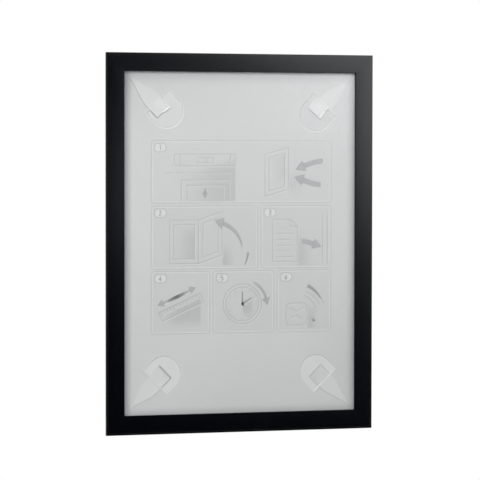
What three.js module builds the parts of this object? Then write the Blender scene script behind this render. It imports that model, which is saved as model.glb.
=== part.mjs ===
// A magnetic display frame for one sheet of paper. It sticks to a wall with four stretch-release
// strips, and its front opens like a door. Millimetres: X runs to the right, Y towards the wall
// and Z up. The origin lies on the wall, behind the middle of the frame.
import * as THREE from 'three';

// The sheet that the frame shows, and what lies round it.
const sheetWidth = 210;
const sheetHeight = 297;
const sheetClearance = 1; // on each side of the sheet
const magnetWidth = 12;
const bezelWidth = 16;

// The layers, from the wall to the front.
const adhesiveThickness = 1;
const panelThickness = 0.75;
const steelThickness = 0.5;
const magnetThickness = 1;
const filmThickness = 0.25;
const bezelThickness = 1;

// The folded hinge film, one leaf on the rear and one on the cover.
const hingeLeafThickness = 0.25;
const hingeLeafWidth = 10;
const hingeEndInset = 4; // the leaves stop short of the side strips' ends

// Edges and corners.
const cornerRadius = 0.5;
const windowRadius = 1;
const bezelEdgeDepth = 0.75; // the rounding of the bezel's outer edge
const bezelEdgeWidth = 1.25;
const bezelEdgeSteps = 4;
const creaseFromEdge = 2; // the pressed line that runs inside the rounding
const creaseWidth = 0.8;
const creaseDepth = 0.15;
const windowChamfer = 0.25; // round the opening
const layerInset = 0.25; // the layers behind the bezel stop this far inside it
const stripGap = 0.5; // between a side strip and the strips above and below it
const cornerSteps = 4;

// The stretch-release strips lie on the diagonals from the frame's corners. Distances along a
// strip are from its pointed tip.
const tipFromCorner = 31; // along the diagonal
const adhesiveWidth = 14.5;
const taperLength = 20;
const adhesiveLength = 29.75; // the sticky part, up to where the pull tab starts
const shoulderRadius = 6; // where the taper meets the straight sides
const shoulderSteps = 4;
const tabLength = 11.5;
const tabThickness = 0.5;
const tabSteps = 8;
const diagonalGap = 0.3; // between two pieces that meet on a strip's diagonal

// How far each pull tab's free end has sprung forward through its finger window.
const tabLift = { top_left: 1.2, top_right: 1.4, bottom_left: 1, bottom_right: 0.5 };

// How far each strip and each finger window sits from its even place, in along and across its
// diagonal. The strips are set by hand, and no two corners are quite alike.
const stripShift = {
  top_left: [-1.75, -0.35],
  top_right: [0.2, 0.4],
  bottom_left: [0.8, 0.6],
  bottom_right: [-0.6, 0.1],
};
const windowShift = {
  top_left: [0, -2.9],
  top_right: [-0.4, 0.6],
  bottom_left: [0.2, 0.8],
  bottom_right: [-1.3, 0.4],
};

// The window in the panel that lets fingers reach a pull tab: straight sides and a round end.
const gripWidth = 28;
const gripStraight = 11;
const gripFromAdhesive = 0.75; // from the sticky part's end to the window's flat side
const gripSteps = 24;

// The film behind a pull tab, a little larger than the window.
const gripFilmThickness = 0.25;
const gripFilmMargin = 1.25;

const outerWidth = sheetWidth + 2 * (sheetClearance + magnetWidth);
const outerHeight = sheetHeight + 2 * (sheetClearance + magnetWidth);
const windowWidth = outerWidth - 2 * bezelWidth;
const windowHeight = outerHeight - 2 * bezelWidth;
const layerWidth = outerWidth - 2 * layerInset;
const layerHeight = outerHeight - 2 * layerInset;

const panelRear = -adhesiveThickness;
const panelFront = panelRear - panelThickness;
const steelFront = panelFront - steelThickness;
const filmRear = steelFront - magnetThickness;
const bezelRear = filmRear - filmThickness;
const bezelFront = bezelRear - bezelThickness;
const rearLeafFront = steelFront - hingeLeafThickness;
const coverLeafFront = rearLeafFront - hingeLeafThickness;

const bezelPlastic = new THREE.MeshStandardMaterial({ color: 0x121316, roughness: 0.42, metalness: 0 });
const magnetFoil = new THREE.MeshStandardMaterial({ color: 0x1b1a19, roughness: 0.7, metalness: 0 });
const steelFoil = new THREE.MeshStandardMaterial({ color: 0x202224, roughness: 0.5, metalness: 0.3 });
const hingeFilm = new THREE.MeshStandardMaterial({ color: 0x161719, roughness: 0.5, metalness: 0 });
const frostedPanel = new THREE.MeshStandardMaterial({ color: 0xc8cacb, roughness: 0.45, metalness: 0 });
const clearFilm = new THREE.MeshStandardMaterial({
  color: 0xf2f5f6, roughness: 0.12, metalness: 0, transparent: true, opacity: 0.2,
});
const whiteFoam = new THREE.MeshStandardMaterial({ color: 0xe6e8e7, roughness: 0.6, metalness: 0 });
const milkyFilm = new THREE.MeshStandardMaterial({ color: 0xd6d9da, roughness: 0.35, metalness: 0 });

// Turns a shape drawn as the frame is seen from the front into a slab between two depths.
const drawnToUpright = new THREE.Matrix4().set(
  1, 0, 0, 0,
  0, 0, -1, 0,
  0, 1, 0, 0,
  0, 0, 0, 1,
);

function slab(shape, front, rear, curveSegments = cornerSteps) {
  const geometry = new THREE.ExtrudeGeometry(shape, { depth: rear - front, bevelEnabled: false, curveSegments });
  return geometry.applyMatrix4(drawnToUpright).translate(0, rear, 0);
}

function piece(name, geometry, material) {
  const mesh = new THREE.Mesh(geometry, material);
  mesh.name = name;
  return mesh;
}

// A box between two sides, given as its low and high edge in X and in Z.
function plate(left, right, bottom, top, front, rear) {
  const geometry = new THREE.BoxGeometry(right - left, rear - front, top - bottom);
  return geometry.translate((left + right) / 2, (front + rear) / 2, (bottom + top) / 2);
}

// The points of a rectangle with round corners, the same number for every radius.
function roundedLoop(width, height, radius) {
  const centres = [[1, 1], [-1, 1], [-1, -1], [1, -1]];
  const points = [];
  centres.forEach(([sideX, sideZ], corner) => {
    for (let step = 0; step <= cornerSteps; step++) {
      const angle = (corner + step / cornerSteps) * Math.PI / 2;
      points.push(new THREE.Vector2(
        sideX * (width / 2 - radius) + radius * Math.cos(angle),
        sideZ * (height / 2 - radius) + radius * Math.sin(angle),
      ));
    }
  });
  return points;
}

// A closed ring through a section: each loop is a rounded rectangle at its own depth, and the
// loops go once round the ring's material.
function ringThrough(loops) {
  const rings = loops.map(({ width, height, radius }) => roundedLoop(width, height, radius));
  const count = rings[0].length;
  const positions = [];
  rings.forEach((ring, level) => ring.forEach((point) => positions.push(point.x, loops[level].depth, point.y)));
  const triangles = [];
  for (let level = 0; level < rings.length; level++) {
    const here = level * count;
    const there = ((level + 1) % rings.length) * count;
    for (let k = 0; k < count; k++) {
      const next = (k + 1) % count;
      triangles.push(here + k, here + next, there + next, here + k, there + next, there + k);
    }
  }
  const geometry = new THREE.BufferGeometry();
  geometry.setAttribute('position', new THREE.Float32BufferAttribute(positions, 3));
  geometry.setIndex(triangles);
  geometry.computeVertexNormals();
  return geometry;
}

// The black front border: one ring with a rounded outer edge, a pressed line just inside it and
// a fine chamfer round the opening.
function bezel() {
  const outer = (inset) => ({ width: outerWidth - 2 * inset, height: outerHeight - 2 * inset, radius: cornerRadius });
  const inner = (growth) => ({
    width: windowWidth + 2 * growth, height: windowHeight + 2 * growth, radius: windowRadius + growth,
  });
  const edge = [];
  for (let step = 0; step <= bezelEdgeSteps; step++) {
    const angle = step / bezelEdgeSteps * Math.PI / 2;
    edge.push({
      ...outer(bezelEdgeWidth * (1 - Math.cos(angle))),
      depth: bezelFront + bezelEdgeDepth * (1 - Math.sin(angle)),
    });
  }
  return ringThrough([
    { ...outer(0), depth: bezelRear },
    ...edge,
    { ...outer(creaseFromEdge), depth: bezelFront },
    { ...outer(creaseFromEdge + creaseWidth / 2), depth: bezelFront + creaseDepth },
    { ...outer(creaseFromEdge + creaseWidth), depth: bezelFront },
    { ...inner(windowChamfer), depth: bezelFront },
    { ...inner(0), depth: bezelFront + windowChamfer },
    { ...inner(0), depth: bezelRear },
  ]);
}

// A point on one corner's diagonal: how far from the strip's tip towards the middle of the
// frame, and how far to the side of the diagonal.
function onDiagonal(sideX, sideZ, along, across) {
  const inward = tipFromCorner + along;
  return new THREE.Vector2(
    sideX * (outerWidth / 2 - (inward - across) * Math.SQRT1_2),
    sideZ * (outerHeight / 2 - (inward + across) * Math.SQRT1_2),
  );
}

// An outline on one corner's diagonal, moved by its shift. Corners where the diagonal frame is
// mirrored get their points in the other order, so that every outline runs anticlockwise.
function diagonalShape(sideX, sideZ, outline, shift) {
  const points = outline.map(([along, across]) => onDiagonal(sideX, sideZ, along + shift[0], across + shift[1]));
  return THREE.ShapeUtils.isClockWise(points) ? points.reverse() : points;
}

// A D: a flat side square to the diagonal, two straight sides and a round end.
function gripOutline(flatSide, width, straight) {
  const radius = width / 2;
  const outline = [[flatSide, -radius]];
  for (let step = 0; step <= gripSteps; step++) {
    const angle = -Math.PI / 2 + Math.PI * step / gripSteps;
    outline.push([flatSide + straight + radius * Math.cos(angle), radius * Math.sin(angle)]);
  }
  outline.push([flatSide, radius]);
  return outline;
}

const gripFlatSide = adhesiveLength + gripFromAdhesive;
const tabRear = panelRear + tabThickness;
const corners = [
  ['top_left', -1, 1],
  ['top_right', 1, 1],
  ['bottom_left', -1, -1],
  ['bottom_right', 1, -1],
];

// The frosted sheet that everything is fixed to, with a finger window at each corner.
function rearPanel() {
  const shape = new THREE.Shape(roundedLoop(layerWidth, layerHeight, cornerRadius));
  for (const [corner, sideX, sideZ] of corners) {
    const outline = gripOutline(gripFlatSide, gripWidth, gripStraight);
    shape.holes.push(new THREE.Path(diagonalShape(sideX, sideZ, outline, windowShift[corner]).reverse()));
  }
  return slab(shape, panelFront, panelRear);
}

// One stretch-release strip behind the panel, pointed towards the frame's corner. Its taper runs
// into the straight sides through an arc.
function adhesiveStrip(sideX, sideZ, shift) {
  const half = adhesiveWidth / 2;
  const slope = Math.atan2(half, taperLength);
  const arcStart = shoulderRadius * Math.tan(slope / 2); // each side of the taper's end
  const flank = [];
  for (let step = 0; step <= shoulderSteps; step++) {
    const angle = slope * (1 - step / shoulderSteps);
    flank.push([
      taperLength + arcStart - shoulderRadius * Math.sin(angle),
      half - shoulderRadius * (1 - Math.cos(angle)),
    ]);
  }
  flank.push([adhesiveLength, half]);
  const mirrored = flank.map(([along, across]) => [along, -across]).reverse();
  const outline = [[0, 0], ...flank, ...mirrored];
  return slab(new THREE.Shape(diagonalShape(sideX, sideZ, outline, shift)), panelRear, 0);
}

// The strip's end that doesn't stick: it leaves the panel's wall side through the finger window
// and bends forward to its free end.
function pullTab(sideX, sideZ, lift, shift, windowFlatSide) {
  const start = adhesiveLength + diagonalGap;
  const bendStart = Math.max(windowFlatSide - shift[0], start) + diagonalGap;
  const end = adhesiveLength + tabLength;
  const front = [new THREE.Vector2(start, panelRear)];
  for (let step = 0; step <= tabSteps; step++) {
    const share = step / tabSteps;
    const bend = share * share * (3 - share) / 2; // as a strip bends that is held at one end
    front.push(new THREE.Vector2(bendStart + (end - bendStart) * share, panelRear - lift * bend));
  }
  const rearSide = front.map((point) => new THREE.Vector2(point.x, point.y + tabThickness)).reverse();
  const shape = new THREE.Shape([...front, ...rearSide]);
  const geometry = new THREE.ExtrudeGeometry(shape, { depth: adhesiveWidth, bevelEnabled: false });
  geometry.translate(0, 0, -adhesiveWidth / 2);

  // Along the diagonal, through the wall and across the diagonal become X, Y and Z. The turn to
  // the side keeps the solid the right way out at every corner.
  const turn = sideX * sideZ;
  const tip = onDiagonal(sideX, sideZ, shift[0], shift[1]);
  return geometry.applyMatrix4(new THREE.Matrix4().set(
    -sideX * Math.SQRT1_2, 0, sideX * turn * Math.SQRT1_2, tip.x,
    0, 1, 0, 0,
    -sideZ * Math.SQRT1_2, 0, -sideZ * turn * Math.SQRT1_2, tip.y,
    0, 0, 0, 1,
  ));
}

// The film that stiffens a pull tab, bonded to its wall side.
function gripFilm(sideX, sideZ, stripMove, windowMove) {
  const flatSide = adhesiveLength + diagonalGap + stripMove[0] - windowMove[0];
  const straight = gripStraight + gripFlatSide - flatSide;
  const outline = gripOutline(flatSide, gripWidth + 2 * gripFilmMargin, straight);
  const shape = new THREE.Shape(diagonalShape(sideX, sideZ, outline, windowMove));
  return slab(shape, tabRear, tabRear + gripFilmThickness);
}

const frame = new THREE.Group();

const rear = new THREE.Group();
rear.add(piece('rear_panel', rearPanel(), frostedPanel));
for (const [corner, sideX, sideZ] of corners) {
  const stripMove = stripShift[corner];
  const windowMove = windowShift[corner];
  const tab = pullTab(sideX, sideZ, tabLift[corner], stripMove, gripFlatSide + windowMove[0]);
  rear.add(piece(`adhesive_strip_${corner}`, adhesiveStrip(sideX, sideZ, stripMove), whiteFoam));
  rear.add(piece(`pull_tab_${corner}`, tab, whiteFoam));
  rear.add(piece(`grip_film_${corner}`, gripFilm(sideX, sideZ, stripMove, windowMove), milkyFilm));
}

const cover = new THREE.Group();
cover.add(piece('bezel', bezel(), bezelPlastic));
const windowSheet = new THREE.Shape(roundedLoop(layerWidth, layerHeight, cornerRadius));
cover.add(piece('window_film', slab(windowSheet, bezelRear, filmRear), clearFilm));

// The magnet strips on the cover and the steel strips that they hold to. On the hinge side the
// two leaves of the hinge film take up part of the magnet's thickness.
const stripOuterX = layerWidth / 2;
const stripInnerX = outerWidth / 2 - magnetWidth;
const stripOuterZ = layerHeight / 2;
const stripInnerZ = outerHeight / 2 - magnetWidth;
const sideStripEnd = stripInnerZ - stripGap;
const strips = [
  ['top', [-stripOuterX, stripOuterX, stripInnerZ, stripOuterZ], steelFront],
  ['bottom', [-stripOuterX, stripOuterX, -stripOuterZ, -stripInnerZ], steelFront],
  ['right', [stripInnerX, stripOuterX, -sideStripEnd, sideStripEnd], steelFront],
  ['hinge_side', [-stripOuterX, -stripInnerX, -sideStripEnd, sideStripEnd], coverLeafFront],
];
for (const [place, edges, magnetRear] of strips) {
  rear.add(piece(`steel_strip_${place}`, plate(...edges, steelFront, panelFront), steelFoil));
  cover.add(piece(`magnet_strip_${place}`, plate(...edges, filmRear, magnetRear), magnetFoil));
}

// The hinge film is folded along the frame's left edge, and its fold is the hinge's axis. It
// reaches the bezel's edge, so that the cover can lie back flat without touching the panel.
const foldX = -outerWidth / 2;
const leafEnd = sideStripEnd - hingeEndInset;
const leafEdges = [foldX, foldX + hingeLeafWidth, -leafEnd, leafEnd];
rear.add(piece('hinge_leaf_rear', plate(...leafEdges, rearLeafFront, steelFront), hingeFilm));
cover.add(piece('hinge_leaf_cover', plate(...leafEdges, coverLeafFront, rearLeafFront), hingeFilm));

frame.add(rear, cover);

export default frame;
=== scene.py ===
import math

import bmesh
import bpy
from mathutils import Matrix, Quaternion, Vector


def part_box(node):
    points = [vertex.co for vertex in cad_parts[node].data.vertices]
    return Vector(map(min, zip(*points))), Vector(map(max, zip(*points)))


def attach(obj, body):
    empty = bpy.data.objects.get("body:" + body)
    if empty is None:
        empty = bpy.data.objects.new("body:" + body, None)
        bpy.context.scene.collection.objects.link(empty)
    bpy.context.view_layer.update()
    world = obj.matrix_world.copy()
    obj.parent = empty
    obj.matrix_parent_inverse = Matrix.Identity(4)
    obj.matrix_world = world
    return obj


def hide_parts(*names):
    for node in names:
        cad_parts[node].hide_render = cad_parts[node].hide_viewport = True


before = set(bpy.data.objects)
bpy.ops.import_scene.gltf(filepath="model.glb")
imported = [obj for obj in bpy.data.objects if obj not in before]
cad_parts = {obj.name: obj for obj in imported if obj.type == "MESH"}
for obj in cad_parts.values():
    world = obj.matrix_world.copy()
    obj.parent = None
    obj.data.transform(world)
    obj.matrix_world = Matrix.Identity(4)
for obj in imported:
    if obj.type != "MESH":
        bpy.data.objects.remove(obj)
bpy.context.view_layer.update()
mm = 0.001
mergeDistance = 0.0005 * mm
# radians between two faces past which they meet in an edge to round
sharpTurn = 0.8
bevelSteps = 2
smoothAngle = math.radians(35)
# what most of a noise texture lies between
noiseSpan = (0.3, 0.7)

# the layers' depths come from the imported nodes; Y grows towards the wall
bezelFront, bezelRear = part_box("bezel")[0].y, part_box("bezel")[1].y
filmFront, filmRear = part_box("window_film")[0].y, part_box("window_film")[1].y
panelFront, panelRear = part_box("rear_panel")[0].y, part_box("rear_panel")[1].y
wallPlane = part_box("adhesive_strip_top_left")[1].y
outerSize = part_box("bezel")[1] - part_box("bezel")[0]
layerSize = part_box("rear_panel")[1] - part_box("rear_panel")[0]
corners = {"top_left": (-1, 1), "top_right": (1, 1), "bottom_left": (-1, -1), "bottom_right": (1, -1)}


# shader nodes, whose kinds are given without the start that all of them share
def addNode(tree, kind, links=None, values=None, **settings):
    node = tree.nodes.new("ShaderNode" + kind)
    for name, value in settings.items():
        setattr(node, name, value)
    for name, value in (values or {}).items():
        node.inputs[name].default_value = value
    for name, source in (links or {}).items():
        tree.links.new(source, node.inputs[name])
    return node


def calculate(tree, operation, *terms):
    node = addNode(tree, "Math", operation=operation)
    for socket, term in zip(node.inputs, terms):
        if isinstance(term, (int, float)):
            socket.default_value = term
        else:
            tree.links.new(term, socket)
    return node.outputs[0]


def noise(tree, position, scale, detail):
    node = addNode(tree, "TexNoise", {"Vector": position}, {"Scale": scale, "Detail": detail})
    return node.outputs["Fac"]


# one range of a value moved onto another
def remap(tree, value, fromLow, fromHigh, low=0.0, high=1.0, **settings):
    node = addNode(tree, "MapRange", {"Value": value},
                   {"From Min": fromLow, "From Max": fromHigh, "To Min": low, "To Max": high}, **settings)
    return node.outputs["Result"]


def noiseBetween(tree, position, scale, low, high):
    return remap(tree, noise(tree, position, scale, 3.0), *noiseSpan, low, high)


def bumpNormal(tree, height, strength, distance, links=None):
    bump = addNode(tree, "Bump", {"Height": height, **(links or {})},
                   {"Strength": strength, "Distance": distance})
    return bump.outputs["Normal"]


def newMaterial(name):
    material = bpy.data.materials.new(name)
    material.use_nodes = True
    tree = material.node_tree
    return material, tree, tree.nodes["Principled BSDF"]


# a surface with cloudy colour and gloss and a fine grain, all from Object coordinates
def makeSurface(name, finish):
    material, tree, shader = newMaterial(name)
    position = addNode(tree, "TexCoord").outputs["Object"]
    tone = noiseBetween(tree, position, finish["cloudScale"], 1 - finish["cloud"], 1 + finish["cloud"])
    colour = addNode(tree, "Mix", data_type="RGBA", blend_type="MULTIPLY")
    colour.inputs["Factor"].default_value = 1
    colour.inputs["A"].default_value = (*finish["colour"], 1)
    shade = addNode(tree, "CombineColor", {"Red": tone, "Green": tone, "Blue": tone})
    tree.links.new(shade.outputs[0], colour.inputs["B"])
    tree.links.new(colour.outputs["Result"], shader.inputs["Base Color"])
    low, high = finish["roughness"]
    tree.links.new(noiseBetween(tree, position, finish["smudgeScale"], low, high), shader.inputs["Roughness"])
    grain = noise(tree, position, finish["grainScale"], 2.0)
    tree.links.new(bumpNormal(tree, grain, finish["grain"], finish["grainHeight"]), shader.inputs["Normal"])
    return material


def addObject(name, data):
    added = bpy.data.objects.new(name, data)
    bpy.context.scene.collection.objects.link(added)
    return added


def addMesh(name, bm, material):
    mesh = bpy.data.meshes.new(name)
    bm.to_mesh(mesh)
    bm.free()
    mesh.materials.append(material)
    return addObject(name, mesh)


def makePiece(name, bm, material, body, replaced=()):
    bmesh.ops.remove_doubles(bm, verts=bm.verts, dist=mergeDistance)
    bmesh.ops.recalc_face_normals(bm, faces=bm.faces)
    piece = addMesh(name, bm, material)
    piece.data.shade_smooth()
    piece.data.set_sharp_from_angle(angle=smoothAngle)
    even = piece.modifiers.new("even_shading", "WEIGHTED_NORMAL")
    even.keep_sharp = True
    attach(piece, body)
    if replaced:
        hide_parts(*replaced)
    return piece


def bevelEdges(bm, edges, width):
    bmesh.ops.bevel(bm, geom=list(edges), offset=width, segments=bevelSteps, profile=0.5, affect="EDGES",
                    clamp_overlap=True, material=-1)


# doubles a sheet of faces with a copy joined to it along the rim, and gives the copy's points
def extrude(bm):
    grown = bmesh.ops.extrude_face_region(bm, geom=bm.faces[:])["geom"]
    return [part for part in grown if isinstance(part, bmesh.types.BMVert)]


# thickens flat faces into a slab that ends at another depth
def thicken(bm, depth):
    for vert in extrude(bm):
        vert.co.y = depth


# the rim of a slab's flat side at one depth: where its faces turn away from Y
def rimEdges(bm, depth):
    bmesh.ops.recalc_face_normals(bm, faces=bm.faces)
    bm.normal_update()
    return [edge for edge in bm.edges
            if all(abs(vert.co.y - depth) < mergeDistance for vert in edge.verts)
            and len(edge.link_faces) == 2 and edge.calc_face_angle(0) > sharpTurn]


def atDepth(outline, depth):
    return [(along, depth, across) for along, across in outline]


def addFace(bm, points):
    return bm.faces.new([bm.verts.new(point) for point in points])


def fillOutlines(bm, outlines, depth):
    edges = []
    for outline in outlines:
        verts = [bm.verts.new(point) for point in atDepth(outline, depth)]
        edges += [bm.edges.new((a, b)) for a, b in zip(verts, verts[1:] + verts[:1])]
    bmesh.ops.triangle_fill(bm, edges=edges, use_beauty=True, use_dissolve=False)


# joins rings of points, each to the next and, when closed, the last to the first
def skinRings(bm, rings, closed=True, place=Matrix()):
    loops = [[bm.verts.new(place @ Vector(point)) for point in ring] for ring in rings]
    for ring, following in zip(loops, loops[1:] + (loops[:1] if closed else [])):
        for index in range(len(ring)):
            bm.faces.new((ring[index - 1], ring[index], following[index], following[index - 1]))


# a quarter round in steps, as shares of its radius from where it starts and from where it ends
def quarterRound(steps):
    angles = [math.radians(90) * step / steps for step in range(steps + 1)]
    return [(1 - math.cos(angle), 1 - math.sin(angle)) for angle in angles]


# the corners of the panel and of the window film
def sheetCorners():
    halfWidth, halfHeight = layerSize.x / 2, layerSize.z / 2
    return [(x * halfWidth, z * halfHeight) for x, z in ((-1, -1), (1, -1), (1, 1), (-1, 1))]


# the black border
bezel = {
    "width": 16 * mm,
    "cornerRadius": 0.5 * mm,
    "windowRadius": 1.0 * mm,
    "cornerSteps": 6,
    "edgeRounding": 0.2 * mm,
    "edgeSteps": 6,
    "crown": 0.075 * mm,
    "crownSteps": 14,
    "lineInset": 0.9 * mm,
    "lineWidth": 0.9 * mm,
    "lineClearance": 0.3 * mm,
    # a lighter black for the pressed line: a painted highlight
    "lineHighlightColour": (0.006, 0.006, 0.0066),
    "windowRounding": 0.28 * mm,
    "windowSteps": 4,
    "lowerExtra": 0.6 * mm,
    "upperExtra": -0.25 * mm,
    "finish": {"colour": (0.0003, 0.0006, 0.0018), "cloud": 0.12, "cloudScale": 22,
               "roughness": (0.183, 0.199), "smudgeScale": 30, "grainScale": 3200, "grain": 0.25,
               "grainHeight": 0.02 * mm},
}


# a rounded rectangle inside the border's outline, as points at one depth
def borderRing(inset, radius, depth):
    halfWidth = outerSize.x / 2 - inset
    points = []
    for quarter, (sideX, sideZ) in enumerate(((1, 1), (-1, 1), (-1, -1), (1, -1))):
        extra = bezel["lowerExtra"] if sideZ < 0 else bezel["upperExtra"]
        halfHeight = outerSize.z / 2 - inset * (1 + extra / bezel["width"])
        for step in range(bezel["cornerSteps"] + 1):
            angle = math.radians(90) * (quarter + step / bezel["cornerSteps"])
            points.append((sideX * (halfWidth - radius) + radius * math.cos(angle), depth,
                           sideZ * (halfHeight - radius) + radius * math.sin(angle)))
    return points


def makeBezel():
    satinBlack = makeSurface("satin_black_film", bezel["finish"])
    width, edge, rim = bezel["width"], bezel["edgeRounding"], bezel["windowRounding"]
    crown, steps = bezel["crown"], bezel["crownSteps"]
    lineStart, lineEnd = bezel["lineInset"], bezel["lineInset"] + bezel["lineWidth"]
    # the section, as insets from the outer edge and depths: rounded edge, crowned front, window's rim
    shoulder = bezelFront + crown
    profile = [(0, bezelRear)]
    for away, left in quarterRound(bezel["edgeSteps"])[:-1]:
        profile.append((edge * away, shoulder + edge * left))
    front = [edge + (width - rim - edge) * step / steps for step in range(steps + 1)]
    front = [inset for inset in front
             if min(abs(inset - lineStart), abs(inset - lineEnd)) > bezel["lineClearance"]]
    for inset in sorted([*front, lineStart, lineEnd]):
        share = (inset - edge) / (width - rim - edge) * 2 - 1
        profile.append((inset, bezelFront + crown * share ** 2))
    for away, left in quarterRound(bezel["windowSteps"])[1:]:
        profile.append((width - rim * left, shoulder + rim * away))
    profile.append((width, bezelRear))
    rings = []
    for inset, depth in profile:
        radius = bezel["cornerRadius"] + (bezel["windowRadius"] - bezel["cornerRadius"]) * inset / width
        rings.append(borderRing(inset, radius, depth))
    bm = bmesh.new()
    skinRings(bm, rings)
    halfWidth, halfHeight = outerSize.x / 2, outerSize.z / 2
    for face in bm.faces:
        middle = face.calc_center_median()
        inset = min(halfWidth - abs(middle.x), halfHeight - abs(middle.z))
        face.material_index = int(middle.y < shoulder and lineStart < inset < lineEnd)
    border = makePiece("bezel_border", bm, satinBlack, "cover", ["bezel"])
    # the pressed line's faces get a lighter black than the border: a painted highlight
    lineHighlightFinish = dict(bezel["finish"], colour=bezel["lineHighlightColour"])
    border.data.materials.append(makeSurface("pressed_line_highlight", lineHighlightFinish))
    print("bezel made")


# the clear film behind the border
windowFilm = {
    "rounding": 0.08 * mm,
    "tint": (0.986, 0.988, 0.99),
    "refraction": 1.46,
    "sheen": 2.6,
    "roughness": 0.3,
    "waveScale": 9,
    "waveHeight": 0.05 * mm,
}


def makeWindowFilm():
    clearFilm, tree, solid = newMaterial("clear_window_film")
    tree.nodes.remove(solid)
    position = addNode(tree, "TexCoord").outputs["Object"]
    wave = noise(tree, position, windowFilm["waveScale"], 1.0)
    normal = bumpNormal(tree, wave, 1.0, windowFilm["waveHeight"])
    through = addNode(tree, "BsdfTransparent", values={"Color": (*windowFilm["tint"], 1)})
    sheen = addNode(tree, "BsdfGlossy", {"Normal": normal}, {"Roughness": windowFilm["roughness"]})
    fresnel = addNode(tree, "Fresnel", {"Normal": normal}, {"IOR": windowFilm["refraction"]})
    outside = calculate(tree, "SUBTRACT", 1.0, addNode(tree, "NewGeometry").outputs["Backfacing"])
    strength = calculate(tree, "MULTIPLY", outside, windowFilm["sheen"])
    share = calculate(tree, "MULTIPLY", fresnel.outputs[0], strength)
    mix = addNode(tree, "MixShader", {"Fac": calculate(tree, "MINIMUM", share, 1.0)})
    tree.links.new(through.outputs[0], mix.inputs[1])
    tree.links.new(sheen.outputs[0], mix.inputs[2])
    tree.links.new(mix.outputs[0], tree.nodes["Material Output"].inputs["Surface"])
    bm = bmesh.new()
    addFace(bm, atDepth(sheetCorners(), filmFront))
    thicken(bm, filmRear)
    bevelEdges(bm, bm.edges, windowFilm["rounding"])
    makePiece("window_sheet", bm, clearFilm, "cover", ["window_film"])
    print("window film made")


# the strips and finger windows lie on the diagonals from the frame's corners; lengths run from
# a strip's pointed tip towards the middle of the frame
strip = {
    "tipFromCorner": 31 * mm,
    "width": 14.5 * mm,
    "tapers": {"top_left": 25 * mm, "top_right": 23 * mm, "bottom_left": 20.5 * mm, "bottom_right": 24 * mm},
    "length": 29.75 * mm,
    "shoulderRadius": 6 * mm,
    "shoulderSteps": 6,
    "tabLength": 11.5 * mm,
    "tabThickness": 0.4 * mm,
    "tabSteps": 60,
    "reachSlope": 8,
    "frontNormal": 0.8,
    "gap": 0.3 * mm,
    "edgeRounding": 0.12 * mm,
    "foam": {"colour": (0.66, 0.67, 0.66), "cloud": 0.015, "cloudScale": 150, "roughness": (0.24, 0.32),
             "smudgeScale": 120, "grainScale": 1500, "grain": 0.3, "grainHeight": 0.02 * mm},
    # the whiter colour of the tabs' side faces and lips: a painted highlight
    "edgeHighlightColour": (0.82, 0.82, 0.81),
}
# how each tab has sprung forward: where it starts from the window's flat side, its depth there, its
# rise, curl and twist, how far one half reaches on, its slide and turn in its plane, and its tone, a
# painted lightening or shading of that corner's foam; the shares along and across past which its lip
# starts, painted whiter as a highlight; the gaps at its end and two sides in the film's pocket; and
# its wrinkles as share along, share across, the same two widths, and height
tabs = {
    "top_left": {
        "start": -2.4 * mm, "depth": -0.02 * mm, "rise": 0.2 * mm, "curl": 0.15 * mm, "twist": -0.15 * mm,
        "reach": 1.6 * mm, "slide": 0, "turn": 0, "tone": 1.0,
        "lip": (0.9, -0.12), "gaps": (0.4 * mm, 0.35 * mm, 0.02 * mm),
        "wrinkles": [(0.55, 0.45, 0.13, 0.035, 0.7 * mm), (0.94, 0.2, 0.04, 0.13, 0.75 * mm),
                     (0.78, 0.4, 0.05, 0.04, 0.35 * mm), (0.85, 0.12, 0.03, 0.16, -0.3 * mm),
                     (0.95, -0.12, 0.03, 0.05, -0.3 * mm)]},
    "top_right": {
        "start": -1.5 * mm, "depth": -0.1 * mm, "rise": 0.2 * mm, "curl": 0.1 * mm, "twist": 0.4 * mm,
        "reach": 0, "slide": -2.4 * mm, "turn": -5, "tone": 1.05,
        "lip": (0.4, 0.38), "gaps": None,
        "wrinkles": [(0.25, 0.45, 0.13, 0.035, 0.55 * mm), (0.75, 0.3, 0.06, 0.03, 0.3 * mm),
                     (0.93, 0.1, 0.03, 0.05, 0.3 * mm)]},
    "bottom_left": {
        "start": -0.1 * mm, "depth": 0.42 * mm, "rise": 0.2 * mm, "curl": 0.1 * mm, "twist": 0.1 * mm,
        "reach": 0, "slide": 0, "turn": 0, "tone": 1.0,
        "lip": None, "gaps": (1.5 * mm, 0.45 * mm, 0.06 * mm), "wrinkles": []},
    "bottom_right": {
        "start": -0.1 * mm, "depth": 0.43 * mm, "rise": 0.1 * mm, "curl": 0, "twist": 0,
        "reach": 0, "slide": 0, "turn": 0, "tone": 0.94,
        "lip": None, "gaps": (0.3 * mm, 0.25 * mm, 0.25 * mm), "wrinkles": []},
}
grip = {
    "width": 28 * mm,
    "straight": 11 * mm,
    "flatSide": 30.5 * mm,
    "steps": 40,
    "rimWidths": {"top_left": 1.2 * mm, "top_right": 1.1 * mm,
                  "bottom_left": 0.7 * mm, "bottom_right": 0.7 * mm},
    "rimDepth": 0.7 * mm,
    "rimSteps": 6,
    "filmSeat": 0.5 * mm,
    "filmThickness": 0.25 * mm,
    "filmMargin": 1.25 * mm,
    "filmRise": 0.75 * mm,
    "sideGap": 0.03 * mm,
    "pocketInset": 0.05 * mm,
    "edgeRounding": 0.35 * mm,
    "edgeSteps": 4,
    # each window's film tone: lit and shaded copies of one film, painted lighter in the lower windows
    "tones": {"top_left": 1.02, "top_right": 1.0, "bottom_left": 1.1, "bottom_right": 1.08},
    "pocketShades": {"top_left": 0.7, "bottom_left": 0.72, "bottom_right": 0.95},
    "film": {"colour": (0.61, 0.62, 0.612), "cloud": 0.012, "cloudScale": 60, "roughness": (0.3, 0.4),
             "smudgeScale": 60, "grainScale": 1800, "grain": 0.15, "grainHeight": 0.015 * mm},
}
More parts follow.
